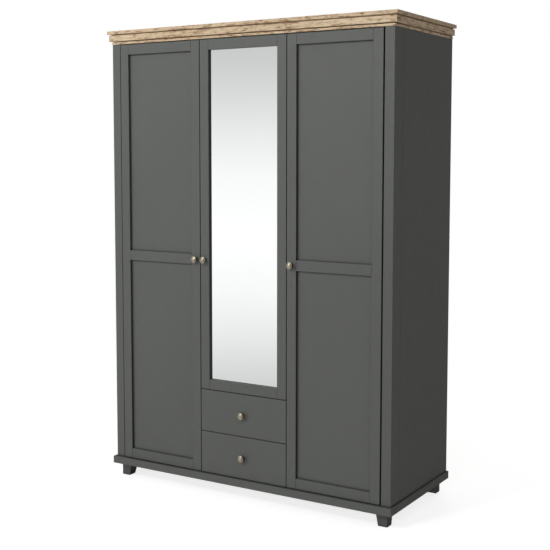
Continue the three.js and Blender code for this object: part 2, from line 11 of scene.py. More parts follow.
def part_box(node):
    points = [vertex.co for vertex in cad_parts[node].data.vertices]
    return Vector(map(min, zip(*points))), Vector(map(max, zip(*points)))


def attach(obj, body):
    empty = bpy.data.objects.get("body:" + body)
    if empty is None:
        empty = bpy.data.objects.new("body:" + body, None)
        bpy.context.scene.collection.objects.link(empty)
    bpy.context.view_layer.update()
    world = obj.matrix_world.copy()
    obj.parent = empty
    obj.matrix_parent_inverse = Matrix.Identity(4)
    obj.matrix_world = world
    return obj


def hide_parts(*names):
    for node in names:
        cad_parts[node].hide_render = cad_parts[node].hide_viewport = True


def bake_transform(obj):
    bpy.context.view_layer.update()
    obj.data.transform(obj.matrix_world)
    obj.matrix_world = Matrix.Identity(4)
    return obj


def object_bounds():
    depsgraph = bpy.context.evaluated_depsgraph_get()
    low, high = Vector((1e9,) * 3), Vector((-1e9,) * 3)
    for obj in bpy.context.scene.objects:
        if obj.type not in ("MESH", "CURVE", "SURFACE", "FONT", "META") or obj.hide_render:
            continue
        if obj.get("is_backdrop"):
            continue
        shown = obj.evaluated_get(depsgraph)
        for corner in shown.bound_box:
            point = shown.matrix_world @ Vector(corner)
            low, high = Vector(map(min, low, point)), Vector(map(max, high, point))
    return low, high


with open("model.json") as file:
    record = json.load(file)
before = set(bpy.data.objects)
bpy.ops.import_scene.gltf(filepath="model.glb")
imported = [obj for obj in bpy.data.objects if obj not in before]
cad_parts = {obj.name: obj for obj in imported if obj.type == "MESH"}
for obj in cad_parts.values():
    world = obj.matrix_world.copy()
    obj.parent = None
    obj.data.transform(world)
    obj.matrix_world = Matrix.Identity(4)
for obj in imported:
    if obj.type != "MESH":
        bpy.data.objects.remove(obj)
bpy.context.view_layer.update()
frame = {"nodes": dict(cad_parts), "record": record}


# ---- Carcass boards ----
# Sides, corner posts, base, top, drawer deck and shelves: particle board with a matt green-grey skin on every
# face. The corner posts are solid, so their arrises are a little softer than the thin edging of the boards.
BOARD_ARRIS = 0.0007
POST_ARRIS = 0.0016
PAINT_ROUGHNESS = 0.56
WEAR_RADIUS = 0.0015
# How far the painted shade in joints, gaps and inner corners reaches, and how dark it makes the paint.
PAINTED_SHADE_REACH = 0.009
PAINTED_SHADE_TONE = 0.10
PEEL_DEPTH = 0.00008
RECORD_COLOURS = {m["slot"]: (*m["base_color"], 1) for m in frame["record"]["materials"]}
GREEN = RECORD_COLOURS["green_paint"]


def feed(tree, socket, value):
    """Gives an input a value, or links it from another node's output."""
    if isinstance(value, bpy.types.NodeSocket):
        tree.links.new(value, socket)
    else:
        socket.default_value = value


def add_node(tree, kind, inputs=None, **settings):
    """A shader node with its settings, and with its inputs given by name or by number."""
    node = tree.nodes.new(f"ShaderNode{kind}")
    for name, value in settings.items():
        setattr(node, name, value)
    for name, value in (inputs or {}).items():
        feed(tree, node.inputs[name], value)
    return node


def mix_colours(tree, factor, first, second):
    return add_node(tree, "Mix", {0: factor, 6: first, 7: second}, data_type="RGBA").outputs[2]


def maths(tree, operation, *values):
    return add_node(tree, "Math", dict(enumerate(values)), operation=operation).outputs[0]


def vector_maths(tree, operation, inputs, output="Vector"):
    return add_node(tree, "VectorMath", inputs, operation=operation).outputs[output]


def remap(tree, value, before, after=(0.0, 1.0)):
    """A value moved from one range to another, and held inside it."""
    return add_node(tree, "MapRange", dict(enumerate((value, *before, *after)))).outputs["Result"]


def noise(tree, place, scale, detail=2.0, roughness=0.5):
    inputs = {"Vector": place, "Scale": scale, "Detail": detail, "Roughness": roughness}
    return add_node(tree, "TexNoise", inputs).outputs["Fac"]


def times(tree, colour, factor):
    """A colour made paler or darker by a factor."""
    start = colour[:3] if isinstance(colour, tuple) else colour
    return vector_maths(tree, "SCALE", {0: start, "Scale": factor})


def split(tree, vector):
    """The X, Y and Z of a vector."""
    return add_node(tree, "SeparateXYZ", {"Vector": vector}).outputs


def facing(tree):
    """The X, Y and Z of the way that a face of the piece points."""
    return split(tree, add_node(tree, "TexCoord").outputs["Normal"])


def start_group(name, inputs, outputs):
    """An empty shader group with sockets of these names and kinds, its own inputs, and its own outputs."""
    group = bpy.data.node_groups.new(name, "ShaderNodeTree")
    for way, sockets in (("INPUT", inputs), ("OUTPUT", outputs)):
        for label, kind in sockets.items():
            group.interface.new_socket(label, in_out=way, socket_type=f"NodeSocket{kind}")
    return group, group.nodes.new("NodeGroupInput").outputs, group.nodes.new("NodeGroupOutput").inputs


def use_group(tree, group, **inputs):
    """A group placed in a material. Its inputs are named in small letters."""
    named = {name.capitalize(): value for name, value in inputs.items()}
    return add_node(tree, "Group", named, node_tree=group).outputs


def make_arris_wear():
    """A mask that is 1 on the rounded arrises, broken up where the finish still covers them."""
    inputs = {"Place": "Vector", "Radius": "Float"}
    group, given, result = start_group("arris_wear", inputs, {"Mask": "Float"})
    rounded = add_node(group, "Bevel", {"Radius": given["Radius"]}, samples=3).outputs["Normal"]
    surface = add_node(group, "NewGeometry").outputs["Normal"]
    alike = vector_maths(group, "DOT_PRODUCT", {0: rounded, 1: surface}, "Value")
    edge = remap(group, alike, (0.995, 0.9))
    broken = remap(group, noise(group, given["Place"], 45.0, 4.0), (0.42, 0.62), (0.15, 1.0))
    feed(group, result["Mask"], maths(group, "MULTIPLY", edge, broken))
    return group


def make_painted_joint_shade():
    """A mask that is 1 deep in the joints, gaps and inner corners, where the paint is darkened as painted
    shade.
    """
    group, given, result = start_group("painted_joint_shade", {"Reach": "Float"}, {"Mask": "Float"})
    open_sky = add_node(group, "AmbientOcclusion", {"Distance": given["Reach"]}, samples=8)
    feed(group, result["Mask"], remap(group, open_sky.outputs["AO"], (0.15, 0.95), (1.0, 0.0)))
    return group


def make_lacquer():
    """The skin of a sprayed or foiled board: slow changes of tone, uneven gloss, and a fine orange peel."""
    inputs = {"Place": "Vector", "Colour": "Color", "Drift": "Float", "Roughness": "Float"}
    outputs = {"Colour": "Color", "Roughness": "Float", "Height": "Float"}
    group, given, result = start_group("matt_lacquer", inputs, outputs)
    place = given["Place"]
    slow = remap(group, noise(group, place, 1.7, 3.0), (0.3, 0.7), (-1.0, 1.0))
    tone = maths(group, "ADD", maths(group, "MULTIPLY", slow, given["Drift"]), 1.0)
    feed(group, result["Colour"], times(group, given["Colour"], tone))
    rubbed = remap(group, noise(group, place, 23.0, 4.0), (0.3, 0.7), (-0.045, 0.045))
    feed(group, result["Roughness"], maths(group, "ADD", given["Roughness"], rubbed))
    peel = maths(group, "MULTIPLY", noise(group, place, 620.0), 0.35)
    feed(group, result["Height"], maths(group, "ADD", peel, noise(group, place, 70.0, 1.0)))
    return group


arris_wear = make_arris_wear()
painted_joint_shade = make_painted_joint_shade()
matt_lacquer = make_lacquer()


def new_material(name):
    """A material, its node tree, and where a point of the piece lies."""
    material = bpy.data.materials.new(name)
    material.use_nodes = True
    tree = material.node_tree
    return material, tree, add_node(tree, "TexCoord").outputs["Object"]


def coat(material, **values):
    """Feeds the inputs of the material's own shader, named in small letters with underlines."""
    tree = material.node_tree
    for name, value in values.items():
        feed(tree, tree.nodes["Principled BSDF"].inputs[name.replace("_", " ").title()], value)
    return material


def bump(tree, height, depth, strength):
    inputs = {"Height": height, "Distance": depth, "Strength": strength}
    return add_node(tree, "Bump", inputs).outputs["Normal"]


def with_wear(tree, place, tone, worn, radius=WEAR_RADIUS):
    """A colour that is paler by the factor worn on the arrises."""
    wear = use_group(tree, arris_wear, place=place, radius=radius)["Mask"]
    return mix_colours(tree, wear, tone, times(tree, tone, worn))


def make_painted(
    name, slot, colour, roughness=PAINT_ROUGHNESS, drift=0.03, worn=1.25, side_shade=1.0, reach=PAINTED_SHADE_REACH
):
    """A painted or foiled board. Its arrises are paler by the factor worn where the finish has thinned, and
    its upright edges darker by the factor given, as painted shade on the reveals and in the gaps."""
    material, tree, place = new_material(name)
    skin = use_group(tree, matt_lacquer, place=place, colour=colour, drift=drift, roughness=roughness)
    tone = with_wear(tree, place, skin["Colour"], worn)
    # Painted shade: the faces that look to the sides are made darker.
    if side_shade < 1:
        across = maths(tree, "ABSOLUTE", facing(tree)["X"])
        tone = times(tree, tone, remap(tree, across, (0.3, 0.8), (1.0, side_shade)))
    # Painted shade: the colour is darkened in joints, gaps and inner corners, where shade falls.
    shade = use_group(tree, painted_joint_shade, reach=reach)["Mask"]
    tone = mix_colours(tree, shade, tone, times(tree, tone, PAINTED_SHADE_TONE))
    peel = bump(tree, skin["Height"], PEEL_DEPTH, 0.5)
    return coat(material, base_color=tone, roughness=skin["Roughness"], normal=peel)


green_lacquer = make_painted("green_grey_lacquer", "green_paint", GREEN)


def add_modifier(piece, name, kind, **settings):
    modifier = piece.modifiers.new(name, kind)
    for setting, value in settings.items():
        setattr(modifier, setting, value)
    return modifier


def add_arris(piece, radius):
    """A modifier that rounds every edge sharper than 30 degrees and leaves the faces flat."""
    sharp = {"limit_method": "ANGLE", "angle_limit": math.radians(30)}
    return add_modifier(piece, "arris", "BEVEL", width=radius, segments=2, harden_normals=True, **sharp)


def finish(piece, material):
    """Gives a piece its material."""
    piece.data.materials.clear()
    piece.data.materials.append(material)


def finish_node(node, material, radius):
    """Finishes a CAD node, with live modifiers that join its triangles and then round its arrises."""
    piece = frame["nodes"][node]
    add_modifier(piece, "joined", "WELD", merge_threshold=1e-5)
    add_modifier(piece, "flat_faces", "DECIMATE", decimate_type="DISSOLVE", angle_limit=math.radians(1))
    add_arris(piece, radius).use_clamp_overlap = False
    finish(piece, material)


BOARDS = ["base_panel", "top_panel", "drawer_deck", "centre_shelf_1", "centre_shelf_2"]
for hand in ("left", "right"):
    BOARDS += [f"side_panel_{hand}", f"hat_shelf_{hand}"]
    finish_node(f"corner_post_{hand}", green_lacquer, POST_ARRIS)
for board in BOARDS:
    finish_node(board, green_lacquer, BOARD_ARRIS)


# ---- Plinth and legs ----
# A flat frame of four rails, mitred at the corners and screwed up into the base, stands proud of the carcass.
# The legs are solid blocks under its corners, upright on their outer faces and tapered on the inner ones.
RAIL_WIDTH = 0.090
PLINTH_ARRIS = 0.0012
LEG_ARRIS = 0.0018
# The legs take the painted shade from further off, as shade under the plinth.
LEG_SHADE_REACH = 0.050


def deselect():
    bpy.ops.object.select_all(action="DESELECT")


def pick(*pieces):
    """Selects these pieces alone, and makes the first one active."""
    deselect()
    for piece in pieces:
        piece.select_set(True)
    bpy.context.view_layer.objects.active = pieces[0]


def settle(name):
    """Names the new primitive, and puts its place, turn and size into its mesh."""
    piece = bpy.context.object
    piece.name = name
    bpy.ops.object.transform_apply(location=True, rotation=True, scale=True)
    return piece


def edit(piece, kind="VERT"):
    """Opens one piece in edit mode with nothing selected in it."""
    pick(piece)
    bpy.ops.object.mode_set(mode="EDIT")
    bpy.ops.mesh.select_mode(type=kind)
    bpy.ops.mesh.select_all(action="DESELECT")


def close_edit():
    bpy.ops.object.mode_set(mode="OBJECT")


def select_mesh():
    bpy.ops.mesh.select_all(action="SELECT")


def block(name, corner, opposite):
    """A block sawn to size between two opposite corners."""
    low = Vector([min(pair) for pair in zip(corner, opposite)])
    high = Vector([max(pair) for pair in zip(corner, opposite)])
    deselect()
    bpy.ops.mesh.primitive_cube_add(size=1, location=(low + high) / 2, scale=high - low)
    return settle(name)


def saw(piece, point, normal):
    """Cuts off what lies on the side that the normal points to, and closes the cut."""
    edit(piece)
    select_mesh()
    bpy.ops.mesh.bisect(plane_co=point, plane_no=normal, use_fill=True, clear_outer=True)
    close_edit()


def apply(modifier):
    pick(modifier.id_data)
    bpy.ops.object.modifier_apply(modifier=modifier.name)


def round_edges(piece, radius):
    """Rounds the sharp edges of a new piece, shaded smooth over the rounding alone."""
    pick(piece)
    bpy.ops.object.shade_smooth()
    apply(add_arris(piece, radius))


def fit(piece, material, body):
    """Finishes a new piece and makes it move with a body."""
    finish(piece, material)
    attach(piece, body)


def plinth_rail(name, low, high, outward):
    """One rail between two corners of the frame, mitred at 45 degrees at both ends."""
    rail = block(name, low, high)
    along, across = (0, 1) if outward[1] else (1, 0)
    for end, corner in ((-1, low), (1, high)):
        outer = Vector(corner)
        outer[across] = (low if outward[across] < 0 else high)[across]
        slope = -Vector(outward)
        slope[along] = end
        saw(rail, outer, slope)
    round_edges(rail, PLINTH_ARRIS)
    fit(rail, green_lacquer, "carcass")
    return rail


low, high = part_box("plinth_frame")
plinth_front = plinth_rail("plinth_front", low, (high.x, low.y + RAIL_WIDTH, high.z), (0, -1, 0))
plinth_rail("plinth_rear", (low.x, high.y - RAIL_WIDTH, low.z), high, (0, 1, 0))
plinth_rail("plinth_left", low, (low.x + RAIL_WIDTH, high.y, high.z), (-1, 0, 0))
plinth_rail("plinth_right", (high.x - RAIL_WIDTH, low.y, low.z), high, (1, 0, 0))
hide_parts("plinth_frame")
leg_lacquer = make_painted("leg_lacquer", "green_paint", GREEN, reach=LEG_SHADE_REACH)
for corner in ("front_left", "front_right", "rear_left", "rear_right"):
    finish_node(f"leg_{corner}", leg_lacquer, LEG_ARRIS)


# ---- Dividers and fixed runners ----
# Two boards stand behind the gaps between the fronts, from the base to the top. On its inner face each
# carries two channels of folded, zinc-plated steel for the drawers, screwed on, with a nylon roller at the
# front end.
DIVIDER_THICKNESS = 0.016
RUNNER_STAND_OUT = 0.0115
RUNNER_HEIGHT = 0.012
RUNNER_LENGTH = 0.440
RUNNER_SETBACK = 0.008
RUNNER_RISE = 0.024
RUNNER_SCREWS = (0.045, 0.205, 0.365)
SHEET_STEEL = 0.0012
FOLD_ARRIS = 0.0004
ROLLER_ROOM = 0.019
ROLLER_PLACE = 0.0095
ROLLER_PROFILE = [
    (0.0000, 0.0000), (0.0026, 0.0000), (0.0026, 0.0008), (0.0052, 0.0008), (0.0057, 0.0014),
    (0.0057, 0.0072), (0.0052, 0.0078), (0.0030, 0.0078), (0.0022, 0.0084), (0.0000, 0.0086),
]
SCREW_PROFILE = [
    (0.0000, -0.0002), (0.0035, -0.0002), (0.0035, 0.0006), (0.0031, 0.0014), (0.0021, 0.0020),
    (0.0000, 0.0023),
]
SLOT_LENGTH = 0.0036
SLOT_WIDTH = 0.0009
SLOT_FLOOR = 0.0012
CUTTER_TOP = 0.004
PLATING = 0.80  # the rest is a dull film on the plating, which scatters light
BRUSH_DEPTH = 0.00002


def close_outward():
    """Turns every face outwards and leaves edit mode."""
    select_mesh()
    bpy.ops.mesh.normals_make_consistent(inside=False)
    close_edit()


def extrude(step):
    bpy.ops.mesh.extrude_region_move(TRANSFORM_OT_translate={"value": step})


def draw_line(name, points):
    """A line through these points, left in edit mode with all of it selected."""
    deselect()
    bpy.ops.mesh.primitive_plane_add(size=0.01, location=points[0])
    line = settle(name)
    edit(line)
    select_mesh()
    bpy.ops.mesh.merge(type="CENTER")
    for before, point in zip(points, points[1:]):
        extrude(Vector(point) - Vector(before))
    select_mesh()
    return line


def turned(name, profile, foot=(0, 0, 0), direction=(0, 0, 1), steps=16):
    """A piece turned on the lathe from (radius, height) points, standing on its foot in a direction."""
    along = Vector(direction).normalized()
    sideways = along.orthogonal().normalized()
    piece = draw_line(name, [Vector(foot) + sideways * radius + along * height for radius, height in profile])
    bpy.ops.mesh.spin(steps=steps, angle=math.tau, center=foot, axis=along)
    select_mesh()
    bpy.ops.mesh.remove_doubles(threshold=1e-6)
    close_outward()
    bpy.ops.object.shade_smooth_by_angle(angle=math.radians(40))
    return piece


def cut(piece, cutter):
    """Takes the cutter's shape out of a piece."""
    apply(add_modifier(piece, "cut", "BOOLEAN", operation="DIFFERENCE", solver="EXACT", object=cutter))


def thicken(piece, thickness, offset):
    """Makes a folded sheet as thick as its steel, about its middle or behind it."""
    apply(add_modifier(piece, "sheet", "SOLIDIFY", thickness=thickness, offset=offset, use_even_offset=True))


def discard(*pieces):
    """Removes cutters and patterns that are no longer needed."""
    for piece in pieces:
        bpy.data.objects.remove(piece)


def cross_slot(head, length, width, floor):
    """Sinks a cross-shaped slot into a screw's head, down to its floor."""
    for along, across in ((length, width), (width, length)):
        slot = block("slot", (-along / 2, -across / 2, floor), (along / 2, across / 2, CUTTER_TOP))
        cut(head, slot)
        discard(slot)


def standing(place, direction=(0, 0, 1)):
    """Where a pattern that is modelled upright at the origin goes, and which way it then points."""
    turn = Vector((0, 0, 1)).rotation_difference(Vector(direction)).to_matrix().to_4x4()
    return Matrix.Translation(place) @ turn


def copied(pattern, name, placement):
    """A copy of a pattern, with its own mesh, put in its place."""
    piece = pattern.copy()
    piece.data = pattern.data.copy()
    piece.name = name
    piece.data.transform(placement)
    bpy.context.scene.collection.objects.link(piece)
    return piece


def join(*pieces):
    """Makes several pieces one, under the name of the first."""
    pick(*pieces)
    if len(pieces) > 1:
        bpy.ops.object.join()
    return pieces[0]


def set_out(pattern, name, placements, material, body):
    """Copies of a pattern as one piece on a body, such as the screws that hold one fitting."""
    fit(join(*[copied(pattern, name, placement) for placement in placements]), material, body)


def edit_edges(piece, chosen):
    """Opens one piece in edit mode with only the edges selected that a test of their two ends picks."""
    edit(piece, "EDGE")
    close_edit()
    for edge in piece.data.edges:
        edge.select = chosen(*(piece.data.vertices[index].co for index in edge.vertices))
    bpy.ops.object.mode_set(mode="EDIT")


def folded_channel(name, wall, side, front, low, roller_at_front):
    """A steel channel whose web lies on a wall at X. Its flanges stop short of the roller at one end."""
    half = SHEET_STEEL / 2
    web = wall + side * half
    channel = draw_line(name, [(web, front, low + half), (web, front, low + RUNNER_HEIGHT - half)])
    lengths = (ROLLER_ROOM, RUNNER_LENGTH - ROLLER_ROOM)
    for length in lengths if roller_at_front else lengths[::-1]:
        extrude((0, length, 0))
    close_edit()
    edit_edges(channel, lambda a, b: abs(a.z - b.z) < 1e-6 and (a - b).length > RUNNER_LENGTH / 2)
    extrude((side * (RUNNER_STAND_OUT - half), 0, 0))
    close_outward()
    thicken(channel, SHEET_STEEL, 0)
    round_edges(channel, FOLD_ARRIS)
    return channel


def make_plated(name, colour, roughness, drift):
    """Plated metal: a slightly uneven colour, brushed by handling, with a faint grain."""
    material, tree, place = new_material(name)
    clouds = remap(tree, noise(tree, place, 35.0, 4.0), (0.3, 0.7), (1 - drift, 1 + drift))
    tone = with_wear(tree, place, times(tree, colour, clouds), 1.15, 0.0006)
    rubbed = remap(tree, noise(tree, place, 150.0, 5.0), (0.3, 0.7), (roughness * 0.8, roughness * 1.3))
    grain = bump(tree, noise(tree, place, 1400.0), BRUSH_DEPTH, 0.3)
    return coat(material, base_color=tone, roughness=rubbed, metallic=PLATING, normal=grain)


zinc = make_plated("zinc_plate", (0.58, 0.60, 0.61, 1), roughness=0.34, drift=0.10)
plain = {"drift": 0.01, "worn": 1.05}
nylon = make_painted("white_nylon", "grey_foil", (0.66, 0.66, 0.63, 1), roughness=0.38, **plain)
screw_pattern = turned("screw_pattern", SCREW_PROFILE, steps=14)
cross_slot(screw_pattern, SLOT_LENGTH, SLOT_WIDTH, SLOT_FLOOR)
roller_pattern = turned("roller_pattern", ROLLER_PROFILE, steps=28)
runner_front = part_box("divider_left")[0].y + RUNNER_SETBACK


def runner(name, body, wall, side, low, roller_at_front):
    """One runner member with its roller and its screws, on the body that it is screwed to."""
    channel = folded_channel(name, wall, side, runner_front, low, roller_at_front)
    fit(channel, zinc, body)
    end = ROLLER_PLACE if roller_at_front else RUNNER_LENGTH - ROLLER_PLACE
    middle = low + RUNNER_HEIGHT / 2
    face = wall + side * SHEET_STEEL
    places = [standing((face, runner_front + y, middle), (side, 0, 0)) for y in (end, *RUNNER_SCREWS)]
    fit(copied(roller_pattern, f"{name}_roller", places[0]), nylon, body)
    set_out(screw_pattern, f"{name}_screws", places[1:], zinc, body)


SIDES = {"left": -1, "right": 1}
for hand, side in SIDES.items():
    low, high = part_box(f"divider_{hand}")
    outer = low.x if side < 0 else high.x
    inner = outer - side * DIVIDER_THICKNESS
    board = block(f"divider_board_{hand}", (inner, low.y, low.z), (outer, high.y, high.z))
    round_edges(board, BOARD_ARRIS)
    fit(board, green_lacquer, "carcass")
    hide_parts(f"divider_{hand}")
    for drawer in ("upper_drawer", "lower_drawer"):
        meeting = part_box(f"{drawer}_box")[0].z + RUNNER_RISE
        runner(f"{drawer}_runner_fixed_{hand}", "carcass", inner, -side, meeting - RUNNER_HEIGHT, True)


# ---- Shelf pins ----
# Each loose shelf lies on four nickel-plated pins, which are pushed into holes in the boards beside it.
# A collar stops the pin against the board.
PIN_END_SETBACK = 0.045
PIN_RADIUS = 0.0025
PIN_PROFILE = [
    (0.0000, -0.0002), (0.0036, -0.0002), (0.0036, 0.0010), (0.0032, 0.0014), (0.0025, 0.0014),
    (0.0025, 0.0084), (0.0021, 0.0090), (0.0000, 0.0090),
]
SHELF_GAP = 0.0005

nickel = make_plated("nickel_plate", RECORD_COLOURS["nickel"], roughness=0.26, drift=0.05)
pin_pattern = turned("pin_pattern", PIN_PROFILE)
for shelf in ("centre_shelf_1", "centre_shelf_2", "hat_shelf_left", "hat_shelf_right"):
    low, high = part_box(shelf)
    ends = (low.y + PIN_END_SETBACK, high.y - PIN_END_SETBACK)
    walls = ((low.x - SHELF_GAP, 1), (high.x + SHELF_GAP, -1))
    places = [standing((x, y, low.z - PIN_RADIUS), (turn, 0, 0)) for x, turn in walls for y in ends]
    set_out(pin_pattern, f"{shelf}_pins", places, nickel, "carcass")
discard(pin_pattern)


# ---- Cornice ----
# Aged oak with brown weathered patches: a moulding of a strip, a fascia and two grooves, darkened by stain
# and painted shade, mitred at the front corners and glued under a flat oak board whose front and side edges
# stand proud.
STRIP_HEIGHT = 0.010
LOWER_GROOVE_HEIGHT = 0.004
UPPER_GROOVE_HEIGHT = 0.005
CORNICE_ARRIS = 0.0009
OAK_TONES = [
    (0.00, (0.18, 0.105, 0.052, 1)),
    (0.28, (0.34, 0.220, 0.122, 1)),
    (0.50, (0.56, 0.405, 0.252, 1)),
    (0.75, (0.67, 0.510, 0.335, 1)),
    (1.00, (0.76, 0.610, 0.425, 1)),
]
# How much darker the oak's side faces are made, as painted shade.
OAK_SIDE_SHADE = 0.75
WEATHERING = 0.64
TOP_WEATHERING = 0.24
# The grooves' dark colour and how much of it they take: a stain that also stands in for shade there.
GROOVE_STAIN_AND_SHADE = (0.16, 0.092, 0.038, 1)
LOWER_STAIN_AND_SHADE = 0.92
UPPER_STAIN_AND_SHADE = 0.42


def ramp(tree, factor, stops):
    """A colour that runs through (position, colour) stops."""
    node = add_node(tree, "ValToRGB", {"Fac": factor})
    elements = node.color_ramp.elements
    while len(elements) < len(stops):
        elements.new(1.0)
    for element, stop in zip(elements, stops):
        element.position, element.color = stop
    return node.outputs["Color"]


def stretched(tree, place, factors):
    """A place whose pattern is squeezed by a factor along each axis."""
    return vector_maths(tree, "MULTIPLY", {0: place, 1: factors})


def make_oak_figure():
    """Oak whose grain runs along X: broad bands, thin streaks, weathered patches, and open pores."""
    inputs = {"Place": "Vector", "Weathering": "Float"}
    outputs = {"Tone": "Float", "Height": "Float", "Pores": "Float"}
    group, given, result = start_group("oak_figure", inputs, outputs)

    def grain(along, across, detail, roughness):
        place = stretched(group, given["Place"], (along, across, across))
        return noise(group, place, 1.0, detail, roughness)

    bands = maths(group, "MULTIPLY", grain(2.6, 30.0, 3.0, 0.6), 0.45)
    streaks = grain(9.0, 210.0, 5.0, 0.65)
    patches = remap(group, grain(22.0, 95.0, 6.0, 0.85), (0.48, 0.64))
    pores = remap(group, grain(60.0, 1500.0, 2.0, 0.6), (0.30, 0.44), (1.0, 0.0))
    tone = maths(group, "ADD", bands, maths(group, "MULTIPLY", streaks, 0.85))
    weathered = maths(group, "MULTIPLY", patches, given["Weathering"])
    feed(group, result["Tone"], maths(group, "SUBTRACT", tone, weathered))
    feed(group, result["Pores"], pores)
    feed(group, result["Height"], maths(group, "SUBTRACT", streaks, maths(group, "MULTIPLY", pores, 0.5)))
    return group


oak_figure = make_oak_figure()


def make_oak(name, turn=0.0, grooves=()):
    """Oak with its grain turned by an angle about Z. A groove is a band between two heights, darkened by
    stain and painted shade. The faces to the sides are a little darker, as painted shade, and the top is less
    weathered."""
    material, tree, place = new_material(name)
    mapping = {"Vector": place, "Rotation": (0, 0, turn), "Location": (turn, 0.3, 0)}
    along = add_node(tree, "Mapping", mapping).outputs["Vector"]
    faces = facing(tree)
    weathering = remap(tree, faces["Z"], (0.5, 0.9), (WEATHERING, TOP_WEATHERING))
    figure = use_group(tree, oak_figure, place=along, weathering=weathering)
    colour = ramp(tree, remap(tree, figure["Tone"], (0.10, 0.78)), OAK_TONES)
    colour = mix_colours(tree, maths(tree, "MULTIPLY", figure["Pores"], 0.35), colour, OAK_TONES[0][1])
    height = split(tree, place)["Z"]
    # Stain and painted shade: the grooves are darkened between two heights.
    for bottom, top, stained_and_shaded in grooves:
        above = maths(tree, "GREATER_THAN", height, bottom)
        inside = maths(tree, "MULTIPLY", above, maths(tree, "LESS_THAN", height, top))
        colour = mix_colours(tree, maths(tree, "MULTIPLY", inside, stained_and_shaded), colour, GROOVE_STAIN_AND_SHADE)
    # Painted shade: the faces that look to the sides are made darker.
    to_side = maths(tree, "ABSOLUTE", faces["X"])
    colour = times(tree, colour, remap(tree, to_side, (0.4, 0.8), (1.0, OAK_SIDE_SHADE)))
    colour = with_wear(tree, place, colour, 1.2)
    matt = remap(tree, figure["Tone"], (0.2, 0.8), (0.68, 0.52))
    return coat(material, base_color=colour, roughness=matt, normal=bump(tree, figure["Height"], 0.0003, 0.6))


moulding_low, moulding_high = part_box("cornice_front")
groove_low = moulding_low.z + STRIP_HEIGHT
STAINED_AND_SHADED = [
    (groove_low, groove_low + LOWER_GROOVE_HEIGHT, LOWER_STAIN_AND_SHADE),
    (moulding_high.z - UPPER_GROOVE_HEIGHT, moulding_high.z, UPPER_STAIN_AND_SHADE),
]
oak_side = make_oak("aged_oak_side", math.pi / 2, STAINED_AND_SHADED)
CORNICE = {
    "front": make_oak("aged_oak_front", grooves=STAINED_AND_SHADED),
    "left": oak_side,
    "right": oak_side,
    "board": make_oak("aged_oak_board"),
}
for part, oak in CORNICE.items():
    finish_node(f"cornice_{part}", oak, CORNICE_ARRIS)


# ---- Back panel ----
# Thin hardboard, lacquered inside and raw brown outside, in three sheets that meet in plastic strips behind
# the dividers. It is nailed all round and to the dividers and the deck.
JOINT_STRIP_WIDTH = 0.016
SHEET_INSET = 0.0005
NAIL_SPACING = 0.15
NAIL_EDGE = 0.007
NAIL_BESIDE_JOINT = 0.0112
NAIL_PROFILE = [(0.0, -0.0002), (0.0030, -0.0002), (0.0026, 0.0002), (0.0, 0.0004)]
RAW_FIBRE = [(0.0, (0.13, 0.075, 0.042, 1)), (1.0, (0.25, 0.160, 0.095, 1))]


def make_hardboard():
    """Pressed fibres, lacquered on the face towards -Y or +Z and raw on the other faces."""
    material, tree, place = new_material("hardboard")
    colour = RECORD_COLOURS["hardboard"]
    skin = use_group(tree, matt_lacquer, place=place, colour=colour, drift=0.04, roughness=0.5)
    fibres = noise(tree, place, 260.0, 6.0, 0.75)
    mottled = ramp(tree, remap(tree, fibres, (0.25, 0.75)), RAW_FIBRE)
    faces = facing(tree)
    lacquered = remap(tree, maths(tree, "SUBTRACT", faces["Z"], faces["Y"]), (0.4, 0.6))
    tone = mix_colours(tree, lacquered, mottled, skin["Colour"])
    matt = remap(tree, lacquered, (0.0, 1.0), (0.85, 0.5))
    return coat(material, base_color=tone, roughness=matt, normal=bump(tree, fibres, 0.0002, 0.35))


hardboard = make_hardboard()
strip_plastic = make_painted("strip_plastic", "hardboard", (0.20, 0.21, 0.20, 1), roughness=0.4, drift=0.01)
back_low, back_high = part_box("back_panel")
sheet_rear = back_high.y - SHEET_INSET
# The joints lie behind the gaps between the fronts, at this distance to the left and right of the middle.
joint_x = (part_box("upper_drawer_front")[1].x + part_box("right_door_closing_stile")[0].x) / 2


def back_part(name, left, right, front, rear, material):
    """A sheet or a strip of the back, as tall as the whole back."""
    part = block(name, (left, front, back_low.z), (right, rear, back_high.z))
    fit(part, material, "carcass")
    return part


edges = [back_low.x, -joint_x, joint_x, back_high.x]
for name, left, right in zip(("left", "middle", "right"), edges, edges[1:]):
    sheet = back_part(f"back_sheet_{name}", left, right, back_low.y, sheet_rear, hardboard)
    if name == "middle":
        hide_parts("back_panel")
half = JOINT_STRIP_WIDTH / 2
for hand, side in SIDES.items():
    x = side * joint_x
    back_part(f"back_joint_strip_{hand}", x - half, x + half, sheet_rear, back_high.y, strip_plastic)


def spaced(start, end):
    """Evenly spaced places from start to end, about one nail spacing apart."""
    count = math.ceil((end - start) / NAIL_SPACING)
    return [start + (end - start) * index / count for index in range(count + 1)]


nail_pattern = turned("nail_pattern", NAIL_PROFILE, steps=8)
left, right = back_low.x + NAIL_EDGE, back_high.x - NAIL_EDGE
bottom, top = back_low.z + NAIL_EDGE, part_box("top_panel")[1].z - NAIL_EDGE
deck_low, deck_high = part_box("drawer_deck")
steps = (-NAIL_BESIDE_JOINT, NAIL_BESIDE_JOINT)
columns = [left, right] + [joint + step for joint in edges[1:3] for step in steps]
nails = [(x, z) for z in spaced(bottom, top)[1:-1] for x in columns]
nails += [(x, z) for x in spaced(left, right) for z in (bottom, top)]
nails += [(x, (deck_low.z + deck_high.z) / 2) for x in spaced(deck_low.x, deck_high.x)[1:-1]]
places = [standing((x, sheet_rear, z), (0, 1, 0)) for x, z in nails]
set_out(nail_pattern, "back_nails", places, zinc, "carcass")
discard(nail_pattern)


